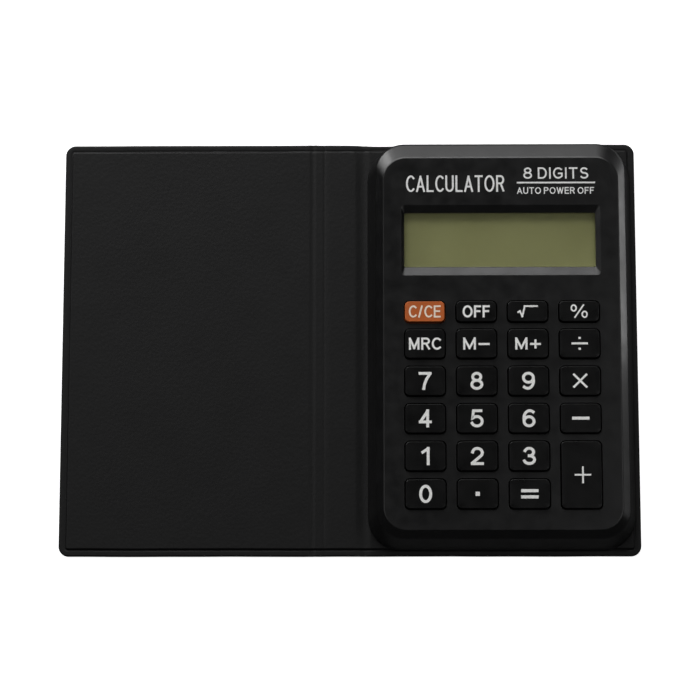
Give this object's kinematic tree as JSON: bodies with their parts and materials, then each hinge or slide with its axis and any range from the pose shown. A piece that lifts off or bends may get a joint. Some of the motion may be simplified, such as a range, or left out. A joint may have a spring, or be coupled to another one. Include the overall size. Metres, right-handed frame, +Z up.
{
  "type": "pocket calculator",
  "caption": "Slim black pocket calculator with spring keys and a sunken display, lying in its open folding wallet cover.",
  "frame": {"origin": "on the underside, at the centre of the open cover's outline", "axes": "+X from the cover's flap to the calculator, +Y from the last key row to the display, +Z up out of the keys"},
  "size_m": [0.1394, 0.1012, 0.0126],
  "materials": {
    "cover_vinyl": "fine-grained black vinyl, satin",
    "grey_board": "raw grey board",
    "tape": "matt foam tape",
    "case_plastic": "finely textured black moulding",
    "screw_steel": "zinc-plated",
    "window_plastic": "clear acrylic",
    "frame_plastic": "moulded white plastic",
    "lcd_film": "matt olive film",
    "lcd_glass": "polished glass",
    "keypad_rubber": "matt silicone",
    "board_laminate": "satin paper laminate",
    "epoxy": "smooth black epoxy",
    "component_ceramic": "ceramic",
    "cell_steel": "nickel-plated",
    "contact_metal": "spring brass",
    "key_black": "satin black moulding with printed signs",
    "key_orange": "satin orange moulding with printed signs"
  },
  "bodies": {
    "back": {"back_outer_skin": "cover_vinyl", "back_board": "grey_board", "back_inner_skin": "cover_vinyl", "mounting_tape": "tape", "rear_case": "case_plastic", "case_screws": "screw_steel", "front_case": "case_plastic", "display_window": "window_plastic", "window_tape": "tape", "display_frame": "frame_plastic", "lcd_front_polarizer": "lcd_film", "lcd_top_glass": "lcd_glass", "lcd_bottom_glass": "lcd_glass", "lcd_reflector": "lcd_film", "zebra_connector": "keypad_rubber", "circuit_board": "board_laminate", "board_screws": "screw_steel", "chip_cover": "epoxy", "board_components": "component_ceramic", "rubber_keypad": "keypad_rubber", "button_cell": "cell_steel", "positive_contact": "contact_metal", "negative_contact": "contact_metal"},
    "spine": {"spine_outer_skin": "cover_vinyl", "spine_board": "grey_board", "spine_inner_skin": "cover_vinyl"},
    "flap": {"flap_outer_skin": "cover_vinyl", "flap_board": "grey_board", "flap_inner_skin": "cover_vinyl"},
    "key_clear": {"key_clear": "key_orange"},
    "key_off": {"key_off": "key_black"},
    "key_square_root": {"key_square_root": "key_black"},
    "key_percent": {"key_percent": "key_black"},
    "key_memory_recall": {"key_memory_recall": "key_black"},
    "key_memory_minus": {"key_memory_minus": "key_black"},
    "key_memory_plus": {"key_memory_plus": "key_black"},
    "key_divide": {"key_divide": "key_black"},
    "key_7": {"key_7": "key_black"},
    "key_8": {"key_8": "key_black"},
    "key_9": {"key_9": "key_black"},
    "key_multiply": {"key_multiply": "key_black"},
    "key_4": {"key_4": "key_black"},
    "key_5": {"key_5": "key_black"},
    "key_6": {"key_6": "key_black"},
    "key_minus": {"key_minus": "key_black"},
    "key_1": {"key_1": "key_black"},
    "key_2": {"key_2": "key_black"},
    "key_3": {"key_3": "key_black"},
    "key_plus": {"key_plus": "key_black"},
    "key_0": {"key_0": "key_black"},
    "key_point": {"key_point": "key_black"},
    "key_equals": {"key_equals": "key_black"}
  },
  "joints": [
    {"name": "spine_fold", "type": "hinge", "parent": "back", "child": "spine", "pos_m": [0.0032, 0, 0.0012], "axis": [0, 1, 0], "range_deg": [-90, 90]},
    {"name": "flap_fold", "type": "hinge", "parent": "spine", "child": "flap", "pos_m": [-0.009, 0, 0.0012], "axis": [0, 1, 0], "range_deg": [-90, 90]},
    {"name": "key_clear_press", "type": "slide", "parent": "back", "child": "key_clear", "axis": [0, 0, -1], "range_m": [0, 0.0008], "stiffness_N_per_m": 900, "springref_m": -0.0001, "deforming": ["rubber_keypad"]},
    {"name": "key_off_press", "type": "slide", "parent": "back", "child": "key_off", "axis": [0, 0, -1], "range_m": [0, 0.0008], "stiffness_N_per_m": 900, "springref_m": -0.0001, "deforming": ["rubber_keypad"]},
    {"name": "key_square_root_press", "type": "slide", "parent": "back", "child": "key_square_root", "axis": [0, 0, -1], "range_m": [0, 0.0008], "stiffness_N_per_m": 900, "springref_m": -0.0001, "deforming": ["rubber_keypad"]},
    {"name": "key_percent_press", "type": "slide", "parent": "back", "child": "key_percent", "axis": [0, 0, -1], "range_m": [0, 0.0008], "stiffness_N_per_m": 900, "springref_m": -0.0001, "deforming": ["rubber_keypad"]},
    {"name": "key_memory_recall_press", "type": "slide", "parent": "back", "child": "key_memory_recall", "axis": [0, 0, -1], "range_m": [0, 0.0008], "stiffness_N_per_m": 900, "springref_m": -0.0001, "deforming": ["rubber_keypad"]},
    {"name": "key_memory_minus_press", "type": "slide", "parent": "back", "child": "key_memory_minus", "axis": [0, 0, -1], "range_m": [0, 0.0008], "stiffness_N_per_m": 900, "springref_m": -0.0001, "deforming": ["rubber_keypad"]},
    {"name": "key_memory_plus_press", "type": "slide", "parent": "back", "child": "key_memory_plus", "axis": [0, 0, -1], "range_m": [0, 0.0008], "stiffness_N_per_m": 900, "springref_m": -0.0001, "deforming": ["rubber_keypad"]},
    {"name": "key_divide_press", "type": "slide", "parent": "back", "child": "key_divide", "axis": [0, 0, -1], "range_m": [0, 0.0008], "stiffness_N_per_m": 900, "springref_m": -0.0001, "deforming": ["rubber_keypad"]},
    {"name": "key_7_press", "type": "slide", "parent": "back", "child": "key_7", "axis": [0, 0, -1], "range_m": [0, 0.0008], "stiffness_N_per_m": 900, "springref_m": -0.0001, "deforming": ["rubber_keypad"]},
    {"name": "key_8_press", "type": "slide", "parent": "back", "child": "key_8", "axis": [0, 0, -1], "range_m": [0, 0.0008], "stiffness_N_per_m": 900, "springref_m": -0.0001, "deforming": ["rubber_keypad"]},
    {"name": "key_9_press", "type": "slide", "parent": "back", "child": "key_9", "axis": [0, 0, -1], "range_m": [0, 0.0008], "stiffness_N_per_m": 900, "springref_m": -0.0001, "deforming": ["rubber_keypad"]},
    {"name": "key_multiply_press", "type": "slide", "parent": "back", "child": "key_multiply", "axis": [0, 0, -1], "range_m": [0, 0.0008], "stiffness_N_per_m": 900, "springref_m": -0.0001, "deforming": ["rubber_keypad"]},
    {"name": "key_4_press", "type": "slide", "parent": "back", "child": "key_4", "axis": [0, 0, -1], "range_m": [0, 0.0008], "stiffness_N_per_m": 900, "springref_m": -0.0001, "deforming": ["rubber_keypad"]},
    {"name": "key_5_press", "type": "slide", "parent": "back", "child": "key_5", "axis": [0, 0, -1], "range_m": [0, 0.0008], "stiffness_N_per_m": 900, "springref_m": -0.0001, "deforming": ["rubber_keypad"]},
    {"name": "key_6_press", "type": "slide", "parent": "back", "child": "key_6", "axis": [0, 0, -1], "range_m": [0, 0.0008], "stiffness_N_per_m": 900, "springref_m": -0.0001, "deforming": ["rubber_keypad"]},
    {"name": "key_minus_press", "type": "slide", "parent": "back", "child": "key_minus", "axis": [0, 0, -1], "range_m": [0, 0.0008], "stiffness_N_per_m": 900, "springref_m": -0.0001, "deforming": ["rubber_keypad"]},
    {"name": "key_1_press", "type": "slide", "parent": "back", "child": "key_1", "axis": [0, 0, -1], "range_m": [0, 0.0008], "stiffness_N_per_m": 900, "springref_m": -0.0001, "deforming": ["rubber_keypad"]},
    {"name": "key_2_press", "type": "slide", "parent": "back", "child": "key_2", "axis": [0, 0, -1], "range_m": [0, 0.0008], "stiffness_N_per_m": 900, "springref_m": -0.0001, "deforming": ["rubber_keypad"]},
    {"name": "key_3_press", "type": "slide", "parent": "back", "child": "key_3", "axis": [0, 0, -1], "range_m": [0, 0.0008], "stiffness_N_per_m": 900, "springref_m": -0.0001, "deforming": ["rubber_keypad"]},
    {"name": "key_plus_press", "type": "slide", "parent": "back", "child": "key_plus", "axis": [0, 0, -1], "range_m": [0, 0.0008], "stiffness_N_per_m": 900, "springref_m": -0.0001, "deforming": ["rubber_keypad"]},
    {"name": "key_0_press", "type": "slide", "parent": "back", "child": "key_0", "axis": [0, 0, -1], "range_m": [0, 0.0008], "stiffness_N_per_m": 900, "springref_m": -0.0001, "deforming": ["rubber_keypad"]},
    {"name": "key_point_press", "type": "slide", "parent": "back", "child": "key_point", "axis": [0, 0, -1], "range_m": [0, 0.0008], "stiffness_N_per_m": 900, "springref_m": -0.0001, "deforming": ["rubber_keypad"]},
    {"name": "key_equals_press", "type": "slide", "parent": "back", "child": "key_equals", "axis": [0, 0, -1], "range_m": [0, 0.0008], "stiffness_N_per_m": 900, "springref_m": -0.0001, "deforming": ["rubber_keypad"]}
  ]
}
